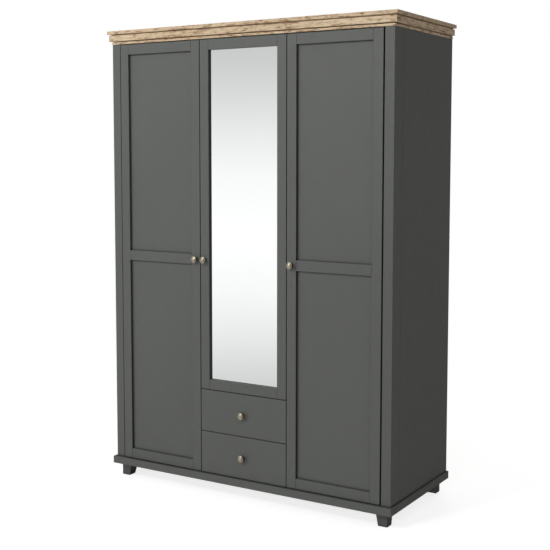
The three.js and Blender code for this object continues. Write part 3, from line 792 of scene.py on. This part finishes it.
# ---- Hanging rails ----
# A chromed steel tube hangs under each hat shelf, pushed into two flanged sockets. Three screws hold each
# socket to the side panel or to the divider.
TUBE_RADIUS = 0.0125
TUBE_WALL = 0.0010
SOCKET_PROFILE = [
    (0.0000, 0.0000), (0.0240, 0.0000), (0.0240, 0.0018), (0.0232, 0.0026), (0.0165, 0.0032),
    (0.0154, 0.0044), (0.0152, 0.0114), (0.0146, 0.0120), (0.0132, 0.0120), (0.0128, 0.0114),
    (0.0128, 0.0025), (0.0000, 0.0025),
]
SOCKET_FLOOR = 0.0025
SOCKET_SCREWS_OUT = 0.0026
SOCKET_SCREW_RADIUS = 0.0198
SOCKET_SCREW_ANGLES = (90, 210, 330)

chrome = make_plated("chrome_plate", RECORD_COLOURS["chrome"], roughness=0.09, drift=0.03)
for hand in SIDES:
    low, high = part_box(f"hanging_rail_{hand}")
    centre = (low + high) / 2
    inner = TUBE_RADIUS - TUBE_WALL
    length = high.x - low.x - 2 * SOCKET_FLOOR
    section = [(inner, 0), (TUBE_RADIUS, 0), (TUBE_RADIUS, length), (inner, length), (inner, 0)]
    foot = (low.x + SOCKET_FLOOR, centre.y, centre.z)
    tube = turned(f"rail_tube_{hand}", section, foot, (1, 0, 0), steps=48)
    fit(tube, chrome, "carcass")
    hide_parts(f"hanging_rail_{hand}")
    for end, x, turn in (("a", low.x, 1), ("b", high.x, -1)):
        name = f"rail_socket_{hand}_{end}"
        socket = turned(name, SOCKET_PROFILE, (x, centre.y, centre.z), (turn, 0, 0), steps=40)
        fit(socket, chrome, "carcass")
        places = []
        for angle in map(math.radians, SOCKET_SCREW_ANGLES):
            y = centre.y + SOCKET_SCREW_RADIUS * math.cos(angle)
            z = centre.z + SOCKET_SCREW_RADIUS * math.sin(angle)
            places.append(standing((x + turn * SOCKET_SCREWS_OUT, y, z), (turn, 0, 0)))
        set_out(screw_pattern, f"{name}_screws", places, chrome, "carcass")


# ---- Drawers ----
# A drawer's sides and back are one fibreboard strip, wrapped in pale grey foil and folded at mitred corners.
# Its hardboard bottom slides in a groove, and steel runners are screwed outside. A painted slab front is held
# by screws, whose cam fittings show inside.
BOX_WALL = 0.012
RUNNER_LIFT = 0.0003
GROOVE_ROOM = 0.0002
FRONT_ARRIS = 0.0008
FOIL_ARRIS = 0.0006
SHEET_ARRIS = 0.0003
CAM_PROFILE = [(0.0, -0.0002), (0.0075, -0.0002), (0.0075, 0.0003), (0.0070, 0.0005), (0.0, 0.0005)]
CAM_SETBACK = 0.024
CAM_ABOVE_FOOT = 0.035
CAM_BELOW_TOP = 0.025


def make_foil():
    """Printed foil on fibreboard: a pale ground with a fine linen weave, dulled a little in its threads."""
    material, tree, place = new_material("grey_foil")
    colour = RECORD_COLOURS["grey_foil"]
    skin = use_group(tree, matt_lacquer, place=place, colour=colour, drift=0.02, roughness=0.5)
    warp = noise(tree, stretched(tree, place, (1, 1, 9)), 210.0)
    weft = noise(tree, stretched(tree, place, (1, 9, 1)), 210.0)
    threads = maths(tree, "MULTIPLY", warp, weft)
    woven = times(tree, skin["Colour"], remap(tree, threads, (0.15, 0.35), (0.93, 1.03)))
    tone = with_wear(tree, place, woven, 1.08, 0.001)
    weave = bump(tree, threads, 0.0001, 0.25)
    return coat(material, base_color=tone, roughness=skin["Roughness"], normal=weave)


grey_foil = make_foil()
cam_pattern = turned("cam_pattern", CAM_PROFILE, steps=24)
cross_slot(cam_pattern, 2 * SLOT_LENGTH, 2 * SLOT_WIDTH, 0)
for drawer in ("upper_drawer", "lower_drawer"):
    low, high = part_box(f"{drawer}_box")
    outer = high.x - RUNNER_STAND_OUT
    bottom_low, bottom_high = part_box(f"{drawer}_bottom")
    room = Vector((GROOVE_ROOM, GROOVE_ROOM, GROOVE_ROOM))
    groove = block("groove", bottom_low - room, bottom_high + room)
    back = block(f"{drawer}_back", (-outer, high.y - BOX_WALL, low.z), (outer, high.y, high.z))
    boards, cams = [back], []
    for hand, side in SIDES.items():
        wall = side * outer
        inside = wall - side * BOX_WALL
        board = block(f"{drawer}_side_{hand}", (wall, low.y, low.z), (inside, high.y, high.z))
        saw(board, (wall, high.y, 0), (-side, 1, 0))
        saw(back, (wall, high.y, 0), (side, -1, 0))
        boards.append(board)
        meeting = low.z + RUNNER_RISE + RUNNER_LIFT
        runner(f"{drawer}_runner_moving_{hand}", drawer, wall, side, meeting, False)
        for z in (low.z + CAM_ABOVE_FOOT, high.z - CAM_BELOW_TOP):
            cams.append(standing((inside, low.y + CAM_SETBACK, z), (-side, 0, 0)))
    for board in boards:
        cut(board, groove)
        round_edges(board, FOIL_ARRIS)
        fit(board, grey_foil, drawer)
    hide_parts(f"{drawer}_box")
    discard(groove)
    set_out(cam_pattern, f"{drawer}_cams", cams, zinc, drawer)
    finish_node(f"{drawer}_front", green_lacquer, FRONT_ARRIS)
    finish_node(f"{drawer}_bottom", hardboard, SHEET_ARRIS)
discard(cam_pattern, roller_pattern)


# ---- Doors ----
# Each tall door is a frame of two stiles and two rails, grooved to hold a flat panel, with a thin middle rail
# glued across the panel. The mirror door's frame holds silvered glass and a hardboard backing.
FRAME_ARRIS = 0.0012
# How much darker the frame's upright edges are made, as painted shade on the reveals and in the gaps.
FRAME_SIDE_SHADE = 0.60
GLASS_ARRIS = 0.0006

frame_lacquer = make_painted("frame_lacquer", "green_paint", GREEN, side_shade=FRAME_SIDE_SHADE)
for door in ("left_door", "mirror_door", "right_door"):
    for part in ("hinge_stile", "closing_stile", "top_rail", "bottom_rail"):
        finish_node(f"{door}_{part}", frame_lacquer, FRAME_ARRIS)
for door in ("left_door", "right_door"):
    finish_node(f"{door}_middle_rail", frame_lacquer, FRAME_ARRIS)
    finish_node(f"{door}_panel", green_lacquer, SHEET_ARRIS)
finish_node("mirror_door_backing", hardboard, SHEET_ARRIS)


def make_mirror():
    """Silvered float glass, with a trace of unevenness in its polish."""
    material, tree, place = new_material("silvered_glass")
    haze = noise(tree, place, 3.0, 3.0)
    silver = ramp(tree, haze, [(0.0, (0.86, 0.875, 0.87, 1)), (1.0, (0.90, 0.91, 0.905, 1))])
    polish = remap(tree, haze, (0.3, 0.7), (0.004, 0.012))
    return coat(material, base_color=silver, roughness=polish, metallic=1.0)


finish_node("mirror_door_glass", make_mirror(), GLASS_ARRIS)


# ---- Hinges ----
# Each door hangs on concealed hinges of nickel-plated steel: a cup pressed into a bore in the stile, and a
# cranked arm on a plate that is screwed to the post or the divider. A link joins them and folds into the cup.
ARM_REACH = 0.058
ARM_HALF_HEIGHT = 0.007
ARM_OUT = 0.018
ARM_BEND = 0.015
ARM_STEEL = 0.0013
ARM_SCREWS = (0.031, 0.047)
NOSE_GAP = 0.0005
NOSE_DEPTH = 0.007
NOSE_START = 0.010
NOSE_END = 0.0195
PLATE_THICKNESS = 0.003
PLATE_FROM, PLATE_TO = 0.024, 0.054
PLATE_HALF_HEIGHT = 0.028
PLATE_CORNER = 0.006
PLATE_SCREWS = 0.0205
CUP_DEPTH = 0.0112
CUP_PROFILE = [
    (0.0000, 0.0000), (0.0162, 0.0000), (0.0172, 0.0010), (0.0172, 0.0112), (0.0186, 0.0112),
    (0.0186, 0.0115), (0.0182, 0.0116), (0.0164, 0.0116), (0.0160, 0.0112), (0.0160, 0.0018),
    (0.0152, 0.0010), (0.0000, 0.0010),
]
CUP_STEPS = 40
WING_FROM, WING_TO = -0.002, 0.0155
WING_HALF_HEIGHT = 0.029
WING_THICKNESS = 0.0004
WING_HOLE = 0.0184
WING_SCREWS = (0.0095, 0.0225)
ARM_PIN = (0.0095, 0.004)
CUP_PIN = (0.0, -0.005)
LINK_STEPS = 24
LINK_HALF_HEIGHT = 0.004
LINK_THICKNESS = 0.0016
EYE_RADIUS = 0.0021
EYE_OVERHANG = 0.0008


def rounded_plate(name, low, high, axis):
    """A flat plate whose four corners, seen along an axis, are rounded."""
    plate = block(name, low, high)
    edit_edges(plate, lambda a, b: abs((a - b).normalized()[axis]) > 0.9)
    bpy.ops.mesh.bevel(offset=PLATE_CORNER, segments=5)
    close_edit()
    return plate


def rod(name, radius, length, foot, direction=(0, 0, 1), steps=16):
    """A plain round rod, standing on its foot in a direction."""
    return turned(name, [(0, 0), (radius, 0), (radius, length), (0, length)], foot, direction, steps)


def bent_arm(cup):
    """The arm of a hinge whose cup lies this far from the wall: a channel, open to the wall and the door."""
    side = [
        (PLATE_THICKNESS, ARM_REACH), (PLATE_THICKNESS, ARM_BEND),
        (cup - NOSE_START, NOSE_GAP), (cup + NOSE_END, NOSE_GAP),
        (cup + NOSE_END, NOSE_GAP + NOSE_DEPTH), (ARM_OUT, ARM_BEND + NOSE_DEPTH), (ARM_OUT, ARM_REACH),
    ]
    arm = draw_line("arm_pattern", [(*corner, -ARM_HALF_HEIGHT) for corner in side])
    bpy.ops.mesh.edge_face_add()
    extrude((0, 0, 2 * ARM_HALF_HEIGHT))
    close_outward()
    edit(arm, "FACE")
    close_edit()
    for face in arm.data.polygons:
        face.select = face.normal.x < -0.5 or face.normal.y < -0.5 or face.center.y > ARM_REACH - 0.001
    bpy.ops.object.mode_set(mode="EDIT")
    bpy.ops.mesh.delete(type="FACE")
    close_edit()
    thicken(arm, ARM_STEEL, -1)
    round_edges(arm, FOLD_ARRIS)
    foot = (0, PLATE_FROM, -PLATE_HALF_HEIGHT)
    plate = rounded_plate("plate", foot, (PLATE_THICKNESS, PLATE_TO, PLATE_HALF_HEIGHT), 0)
    round_edges(plate, FOLD_ARRIS)
    return join(arm, plate)


def hinge_cup(cup):
    """The cup and its wing, a thin plate with two ears that are screwed to the rear of the stile."""
    shell = turned("cup_pattern", CUP_PROFILE, (cup, -CUP_DEPTH, 0), (0, 1, 0), CUP_STEPS)
    foot = (cup + WING_FROM, 0, -WING_HALF_HEIGHT)
    wing = rounded_plate("wing", foot, (cup + WING_TO, WING_THICKNESS, WING_HALF_HEIGHT), 1)
    hole = rod("hole", WING_HOLE, 2 * CUP_DEPTH, (cup, -CUP_DEPTH, 0), (0, 1, 0), CUP_STEPS)
    cut(wing, hole)
    discard(hole)
    return join(shell, wing)


def hinge_link(cup):
    """The link, a band in short steps from the arm's pin to the cup's pin, with an eye round each pin."""
    start, end = [Vector((cup + x, y, 0)) for x, y in (ARM_PIN, CUP_PIN)]
    along = (end - start).normalized()
    across = Vector((-along.y, along.x, 0)) * LINK_THICKNESS / 2
    up = Vector((0, 0, LINK_HALF_HEIGHT))
    link = draw_line("link_pattern", [start - across - up, start + across - up])
    extrude(2 * up)
    select_mesh()
    for _ in range(LINK_STEPS):
        extrude((end - start) / LINK_STEPS)
    close_outward()
    half = up + Vector((0, 0, EYE_OVERHANG))
    return join(link, *[rod("eye", EYE_RADIUS, 2 * half.z, pin - half) for pin in (start, end)])


front_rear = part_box("right_door_hinge_stile")[1].y
plate_middle = (PLATE_FROM + PLATE_TO) / 2
ARM_HEADS = [(PLATE_THICKNESS, plate_middle, z) for z in (-PLATE_SCREWS, PLATE_SCREWS)]
ARM_HEADS += [(ARM_OUT, y, 0) for y in ARM_SCREWS]
HINGE_SETS = {"left_door": (1, 4), "mirror_door": (-1, 3), "right_door": (-1, 4)}
for door, (out, count) in HINGE_SETS.items():
    low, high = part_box(f"{door}_hinge_arm_bottom")
    top_low, top_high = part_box(f"{door}_hinge_arm_top")
    wall = low.x if out > 0 else high.x
    cup = high.x - low.x - NOSE_END
    bottom_z, top_z = (low.z + high.z) / 2, (top_low.z + top_high.z) / 2
    turn = Matrix.Identity(4) if out > 0 else Matrix.Rotation(math.pi, 4, "Y")
    patterns = {"arm": bent_arm(cup), "cup": hinge_cup(cup), "link": hinge_link(cup)}
    wing_heads = [(cup + WING_SCREWS[0], WING_THICKNESS, z) for z in (-WING_SCREWS[1], WING_SCREWS[1])]
    plate_screws, cup_screws = [], []
    for index in range(count):
        height = bottom_z + (top_z - bottom_z) * index / (count - 1)
        place = Matrix.Translation((wall, front_rear, height)) @ turn
        made = {}
        for part, pattern in patterns.items():
            made[part] = copied(pattern, f"{door}_hinge_{index + 1}_{part}", place)
            finish(made[part], nickel)
        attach(made["arm"], "carcass")
        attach(made["cup"], door)
        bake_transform(made["link"])
        if index in (0, count - 1):
            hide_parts(f"{door}_hinge_arm_{'top' if index else 'bottom'}")
        plate_screws += [place @ standing(head, (1, 0, 0)) for head in ARM_HEADS]
        cup_screws += [place @ standing(head, (0, 1, 0)) for head in wing_heads]
    discard(*patterns.values())
    for name, places, body in (("plate", plate_screws, "carcass"), ("cup", cup_screws, door)):
        set_out(screw_pattern, f"{door}_hinge_{name}_screws", places, nickel, body)


# ---- Knobs ----
# Turned brass with an antique finish: a foot, a waisted stem, and a head with a rolled rim round a low dome.
# The stain stays in the hollows, and the rim and the top of the dome are rubbed bright. The foot and stem
# behind the head are darkened too, by stain and painted shade under the head. A screw through the front
# holds each knob.
KNOB_PROFILE = [
    (0.0000, 0.0000), (0.0090, 0.0000), (0.0090, 0.0013), (0.0084, 0.0021), (0.0068, 0.0027),
    (0.0056, 0.0048), (0.0052, 0.0078), (0.0056, 0.0108), (0.0074, 0.0134), (0.0108, 0.0150),
    (0.0138, 0.0161), (0.0150, 0.0178), (0.0149, 0.0197), (0.0138, 0.0213), (0.0122, 0.0218),
    (0.0112, 0.0211), (0.0103, 0.0214), (0.0084, 0.0232), (0.0058, 0.0243), (0.0030, 0.0249),
    (0.0000, 0.0250),
]
KNOB_STEM_END = 0.012
KNOB_RIM_START = 0.0165
BRASS = (0.64, 0.565, 0.435, 1)
BRASS_STAIN_AND_SHADE = (0.04, 0.028, 0.017, 1)


def make_aged_brass(front):
    """Brass rubbed bright on its head. The stain stays in the hollows, and the foot and the stem behind the
    head, which stand on the front at this Y, are darkened by stain and painted shade."""
    material, tree, place = new_material("aged_brass")
    surface = add_node(tree, "NewGeometry").outputs["Pointiness"]
    blotches = remap(tree, noise(tree, place, 240.0, 3.0), (0.3, 0.7), (-0.03, 0.03))
    raised = remap(tree, maths(tree, "ADD", surface, blotches), (0.44, 0.54))
    # Stain and painted shade: the foot and the stem behind the head stay dark.
    head = remap(tree, split(tree, place)["Y"], (front - KNOB_STEM_END, front - KNOB_RIM_START))
    rubbed = maths(tree, "MULTIPLY", raised, head)
    tone = mix_colours(tree, rubbed, BRASS_STAIN_AND_SHADE, BRASS)
    polish, metal = [remap(tree, rubbed, (0.0, 1.0), ends) for ends in ((0.57, 0.37), (0.4, 1.0))]
    grain = bump(tree, noise(tree, place, 900.0), 0.00003, 0.4)
    return coat(material, base_color=tone, roughness=polish, metallic=metal, normal=grain)


aged_brass = make_aged_brass(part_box("left_door_knob")[1].y)
for body in ("left_door", "right_door", "mirror_door", "upper_drawer", "lower_drawer"):
    low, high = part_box(f"{body}_knob")
    foot = Vector(((low.x + high.x) / 2, high.y, (low.z + high.z) / 2))
    knob = turned(f"{body}_knob_turned", KNOB_PROFILE, foot, (0, -1, 0), steps=40)
    fit(knob, aged_brass, body)
    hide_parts(f"{body}_knob")
    # The mirror shows an even sweep, so the knob beside it is kept out of its reflection.
    knob.visible_glossy = body != "mirror_door"
    head = standing((foot.x, front_rear, foot.z), (0, 1, 0))
    set_out(screw_pattern, f"{body}_knob_screw", [head], zinc, body)


# ---- Door and drawer buffers ----
# Small clear-grey plastic pads are stuck to the rear of the fronts, near the corners that close against the
# edges of the dividers.
BUFFER_PROFILE = [(0.0, 0.0), (0.0030, 0.0), (0.0030, 0.0004), (0.0022, 0.0008), (0.0, 0.0009)]
BUFFER_EDGE = 0.0033
BUFFER_END = 0.060
# The edges of each front that carry pads: -1 is the left edge and 1 the right one.
PADDED_EDGES = {
    "left_door": [1], "mirror_door": [-1], "right_door": [-1],
    "upper_drawer": [-1, 1], "lower_drawer": [-1, 1],
}

buffer_plastic = make_painted("buffer_plastic", "grey_foil", (0.30, 0.31, 0.30, 1), roughness=0.3, **plain)
buffer_pattern = turned("buffer_pattern", BUFFER_PROFILE)
for body, sides in PADDED_EDGES.items():
    low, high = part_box(f"{body}_front" if "drawer" in body else f"{body}_closing_stile")
    edges = [low.x + BUFFER_EDGE if side < 0 else high.x - BUFFER_EDGE for side in sides]
    ends = (low.z + BUFFER_END, high.z - BUFFER_END)
    places = [standing((x, high.y, z), (0, 1, 0)) for x in edges for z in ends]
    set_out(buffer_pattern, f"{body}_buffers", places, buffer_plastic, body)
discard(buffer_pattern, screw_pattern)


# ---- Studio ----
# A pale floor that keeps the wardrobe's shadow, a white surround, a lamp above the front, one on the left
# that draws the shadows, broad ones in front, beside and behind, and a band that mirror and metal reflect.
FLOOR_SIZE = 16.0
FLOOR_COLOUR = (0.82, 0.82, 0.82)
FLOOR_SEEN = (0.50, 0.50, 0.50)
FLOOR_GLOW = 0.78
FLOOR_FADE = (1.0, 2.2)
AMBIENT = 0.40
BAND_FORWARD = (-0.60, 0.10)
BAND_RIGHT = (-0.1, 0.45)
BAND_BEHIND = 0.30
BAND = [
    (-65.0, 0.90), (-42.0, 0.85), (-30.0, 0.38), (-24.0, 0.42), (-12.6, 0.72), (-9.6, 0.95),
    (-7.6, 1.07), (-4.5, 1.15), (-1.4, 1.08), (0.6, 0.96), (2.6, 0.82), (4.8, 0.69), (9.0, 0.58),
    (26.0, 0.45), (40.0, 1.00), (70.0, 1.10),
]


def mix_shaders(tree, factor, first, second):
    return add_node(tree, "MixShader", {0: factor, 1: first, 2: second}).outputs[0]


def show(tree, output, seen, felt):
    """Camera rays meet the shader seen, and all others meet the shader felt."""
    rays = add_node(tree, "LightPath").outputs["Is Camera Ray"]
    feed(tree, output.inputs["Surface"], mix_shaders(tree, rays, felt, seen))


def make_floor():
    """Pale and matt, and white to the camera away from the wardrobe."""
    material, tree, place = new_material("pale_floor")
    tree.nodes.remove(tree.nodes["Principled BSDF"])
    grain = remap(tree, noise(tree, place, 3.0), (0.3, 0.7), (0.99, 1.01))
    matt, near = [
        add_node(tree, "BsdfDiffuse", {"Color": times(tree, colour, grain)}).outputs[0]
        for colour in (FLOOR_COLOUR, FLOOR_SEEN)
    ]
    glow, white = [add_node(tree, "Emission", {"Strength": power}).outputs[0] for power in (FLOOR_GLOW, 1.0)]
    bright = add_node(tree, "AddShader", {0: near, 1: glow}).outputs[0]
    far = remap(tree, vector_maths(tree, "LENGTH", {0: place}, "Value"), FLOOR_FADE)
    show(tree, tree.nodes["Material Output"], mix_shaders(tree, far, bright, white), matt)
    return material


def make_surround():
    """White to the camera, a banded sweep to mirror and metal, and an even soft light to everything else."""
    world = bpy.data.worlds.new("surround")
    world.use_nodes = True
    tree = world.node_tree
    tree.nodes.clear()
    rays = add_node(tree, "LightPath").outputs
    towards = split(tree, add_node(tree, "TexCoord").outputs["Generated"])
    stops = [(math.sin(math.radians(angle)) / 2 + 0.5, (tone, tone, tone, 1)) for angle, tone in BAND]
    band = ramp(tree, remap(tree, towards["Z"], (-1.0, 1.0)), stops)
    forward = remap(tree, towards["Y"], BAND_FORWARD, (1.0, BAND_BEHIND))
    lit = maths(tree, "MULTIPLY", forward, remap(tree, towards["X"], BAND_RIGHT, (1.0, BAND_BEHIND)))
    sweep, soft, white = [
        add_node(tree, "Background", inputs).outputs[0]
        for inputs in ({"Color": times(tree, band, lit)}, {"Strength": AMBIENT}, {"Color": (1, 1, 1, 1)})
    ]
    reflected = maths(tree, "MAXIMUM", rays["Is Glossy Ray"], rays["Is Transmission Ray"])
    show(tree, add_node(tree, "OutputWorld"), white, mix_shaders(tree, reflected, soft, sweep))
    bpy.context.scene.world = world


def lamp(name, place, aim, size, power, glint=False):
    """A rectangular lamp, which glossy surfaces reflect only where glint is set."""
    light = bpy.data.lights.new(name, "AREA")
    light.shape = "RECTANGLE"
    light.size, light.size_y = size
    light.energy = power
    made = bpy.data.objects.new(name, light)
    bpy.context.scene.collection.objects.link(made)
    made.location = place
    made.visible_glossy = glint
    made.rotation_euler = (Vector(aim) - Vector(place)).to_track_quat("-Z", "Y").to_euler()


deselect()
bpy.ops.mesh.primitive_plane_add(size=FLOOR_SIZE)
floor = settle("floor")
floor.data.materials.append(make_floor())
floor.visible_glossy = False
floor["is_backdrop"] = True
make_surround()
lamp("upper_softbox", (-1.0, -3.8, 3.6), (0, -0.2, 1.1), (0.8, 0.8), 59, glint=True)
lamp("left_softbox", (-4.4, -5.2, 1.8), (0, -0.2, 1.0), (0.6, 0.6), 74)
lamp("front_softbox", (2.0, -7.6, 2.9), (0, -0.2, 1.1), (2.0, 2.0), 52)
lamp("rear_softbox", (-2.5, 7.0, 2.6), (0, 0.2, 1.1), (2.5, 2.5), 170)
lamp("side_softbox", (6.7, 1.6, 1.8), (0.7, 0, 1.1), (2.5, 2.5), 43)


# ---- Camera ----
# It stands to the right of the front, a little above the middle of the wardrobe, and looks slightly down
# through a long lens.
bpy.context.scene.view_settings.view_transform = "Standard"
tilt = (math.radians(85.207), 0, math.radians(31.744))
bpy.ops.object.camera_add(location=(2.4705, -4.0734, 1.5192), rotation=tilt)
camera = bpy.context.object
camera.data.lens = 69.095
camera.data.sensor_width = 36.0
camera.data.shift_x = 0.0142
camera.data.shift_y = -0.062
bpy.context.scene.camera = camera

low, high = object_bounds()
